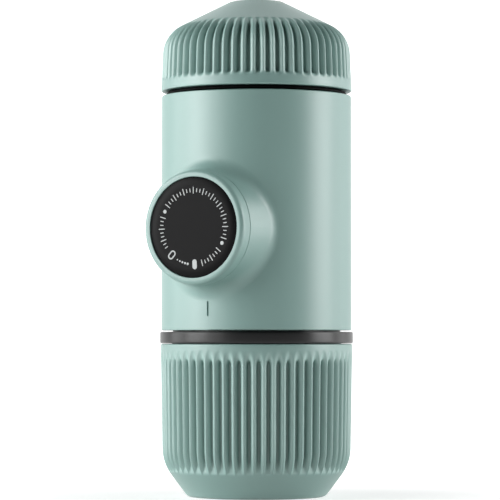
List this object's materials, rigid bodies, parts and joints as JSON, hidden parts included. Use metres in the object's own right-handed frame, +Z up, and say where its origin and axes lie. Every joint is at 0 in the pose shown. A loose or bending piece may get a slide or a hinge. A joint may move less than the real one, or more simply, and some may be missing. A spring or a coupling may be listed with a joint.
{
  "type": "handheld manual espresso maker",
  "caption": "Hand-pumped pocket espresso maker: fluted cup and screw-on water tank on a smooth round body with a turn-to-unlock pump knob at its side.",
  "frame": {"origin": "centre of the cup's flat base", "axes": "+Z up along the body, -Y out of the pump knob, +X to the right seen from the knob"},
  "size_m": [0.0606, 0.0689, 0.156],
  "materials": {
    "mint_plastic": "fine moulded texture, mint green",
    "black_plastic": "satin moulded black",
    "knob_disc_plastic": "matte black disc with pale printed marks",
    "dark_plastic": "moulded dark grey",
    "silicone": "soft matte grey",
    "stainless_steel": "brushed",
    "screw_steel": "plain"
  },
  "bodies": {
    "cup": {"cup": "mint_plastic"},
    "outlet_head": {"outlet_head": "black_plastic", "cup_seal": "silicone", "spout_cap": "black_plastic", "crema_spring": "screw_steel"},
    "crema_valve": {"crema_valve": "dark_plastic"},
    "filter_basket": {"filter_basket": "stainless_steel", "basket_screen": "stainless_steel"},
    "scoop": {"scoop": "dark_plastic"},
    "group_gasket": {"group_gasket": "silicone"},
    "main_body": {"main_shell": "mint_plastic", "head_socket": "black_plastic", "group_head": "black_plastic", "shower_screen": "stainless_steel", "shower_screw": "stainless_steel", "tank_socket": "black_plastic", "inlet_filter": "stainless_steel", "pump_frame": "dark_plastic", "frame_screws": "screw_steel", "knob_guide": "black_plastic", "pump_screws": "screw_steel", "pump_barrel": "dark_plastic", "barrel_cap": "dark_plastic", "barrel_seal": "silicone", "valve_block": "dark_plastic", "inlet_valve": "silicone", "outlet_valve": "silicone", "inlet_tube": "dark_plastic", "outlet_tube": "dark_plastic", "tube_seals": "silicone", "return_spring": "screw_steel"},
    "tank_gasket": {"tank_gasket": "silicone"},
    "water_tank": {"tank_cover": "mint_plastic", "tank_vessel": "black_plastic", "air_valve": "silicone"},
    "plunger": {"plunger_rod": "stainless_steel", "piston": "dark_plastic", "piston_seal": "silicone"},
    "knob": {"knob_shell": "mint_plastic", "knob_disc": "knob_disc_plastic", "knob_skirt": "dark_plastic", "knob_screws": "screw_steel"}
  },
  "joints": [
    {"name": "head_pull", "type": "slide", "parent": "cup", "child": "outlet_head", "axis": [0, 0, 1], "range_m": [0, 0.045]},
    {"name": "crema_valve_lift", "type": "slide", "parent": "outlet_head", "child": "crema_valve", "axis": [0, 0, -1], "range_m": [0, 0.001], "stiffness_N_per_m": 300, "springref_m": -0.003, "deforming": ["crema_spring"]},
    {"name": "basket_lift", "type": "slide", "parent": "outlet_head", "child": "filter_basket", "axis": [0, 0, 1], "range_m": [0, 0.0061]},
    {"name": "scoop_lift", "type": "slide", "parent": "outlet_head", "child": "scoop", "axis": [0, 0, 1], "range_m": [0, 0.0121]},
    {"name": "body_lift", "type": "slide", "parent": "outlet_head", "child": "group_gasket", "axis": [0, 0, 1], "range_m": [0, 0.0201]},
    {"name": "body_turn", "type": "hinge", "parent": "group_gasket", "child": "main_body", "pos_m": [0, 0, 0.052], "axis": [0, 0, 1], "range_deg": [0, 450]},
    {"name": "tank_lift", "type": "slide", "parent": "main_body", "child": "tank_gasket", "axis": [0, 0, 1], "range_m": [0, 0.0241]},
    {"name": "tank_turn", "type": "hinge", "parent": "tank_gasket", "child": "water_tank", "pos_m": [0, 0, 0.127], "axis": [0, 0, 1], "range_deg": [0, 540]},
    {"name": "pump_stroke", "type": "slide", "parent": "main_body", "child": "plunger", "axis": [0, -1, 0], "range_m": [0, 0.013], "deforming": ["return_spring"]},
    {"name": "knob_turn", "type": "hinge", "parent": "plunger", "child": "knob", "pos_m": [0, -0.036, 0.0832], "axis": [0, -1, 0], "range_deg": [0, 45]}
  ],
  "couplings": [
    {"joint": "body_lift", "follows": "body_turn", "m_per_rad": 0.0025465},
    {"joint": "scoop_lift", "follows": "body_turn", "m_per_rad": 0.0015279},
    {"joint": "basket_lift", "follows": "body_turn", "m_per_rad": 0.00076394},
    {"joint": "tank_lift", "follows": "tank_turn", "m_per_rad": 0.0025465}
  ]
}
